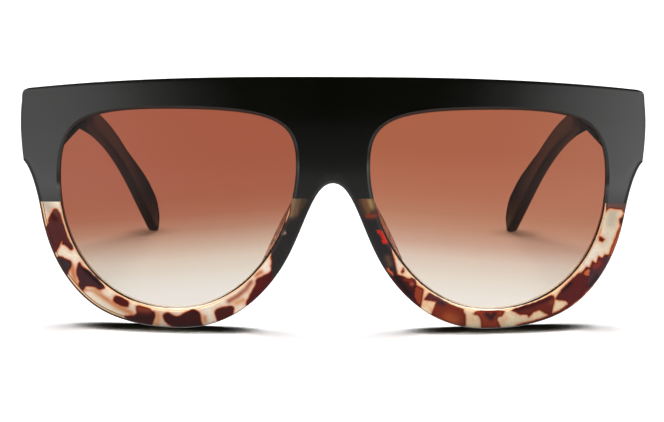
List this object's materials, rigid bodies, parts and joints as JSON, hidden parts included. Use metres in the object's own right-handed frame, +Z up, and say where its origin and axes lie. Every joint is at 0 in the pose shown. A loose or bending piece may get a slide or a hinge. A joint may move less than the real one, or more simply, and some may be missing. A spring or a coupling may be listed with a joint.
{
  "type": "sunglasses",
  "caption": "Flat-top sunglasses with D-shaped gradient lenses, a two-tone acetate front and folding temples.",
  "frame": {"origin": "On the table, under the middle of the bounding box of the opened sunglasses, which stand on the two rims and the two temple tips.", "axes": "+X to the wearer's left, across the front; -Y is the face that others see and the temples run toward +Y; +Z up."},
  "size_m": [0.1484, 0.1476, 0.0597],
  "materials": {
    "black_acetate": "polished",
    "tortoise_acetate": "polished, mottled cream and dark brown",
    "lens": "polished, brown gradient, darker at the top",
    "hinge_metal": "satin nickel silver"
  },
  "bodies": {
    "front": {"front_upper": "black_acetate", "rim_lower_left": "tortoise_acetate", "rim_lower_right": "tortoise_acetate", "lens_left": "lens", "lens_right": "lens", "nose_pad_left": "tortoise_acetate", "nose_pad_right": "tortoise_acetate", "front_hinge_left": "hinge_metal", "front_hinge_right": "hinge_metal", "hinge_screw_left": "hinge_metal", "hinge_screw_right": "hinge_metal"},
    "temple_left_body": {"temple_left": "black_acetate", "temple_core_left": "hinge_metal", "temple_hinge_left": "hinge_metal"},
    "temple_right_body": {"temple_right": "black_acetate", "temple_core_right": "hinge_metal", "temple_hinge_right": "hinge_metal"}
  },
  "joints": [
    {"name": "temple_left_fold", "type": "hinge", "parent": "front", "child": "temple_left_body", "pos_m": [0.0672, -0.05616, 0.0456], "axis": [0, 0, 1], "range_deg": [0, 86]},
    {"name": "temple_right_fold", "type": "hinge", "parent": "front", "child": "temple_right_body", "pos_m": [-0.0672, -0.05616, 0.0456], "axis": [0, 0, -1], "range_deg": [0, 79]}
  ]
}
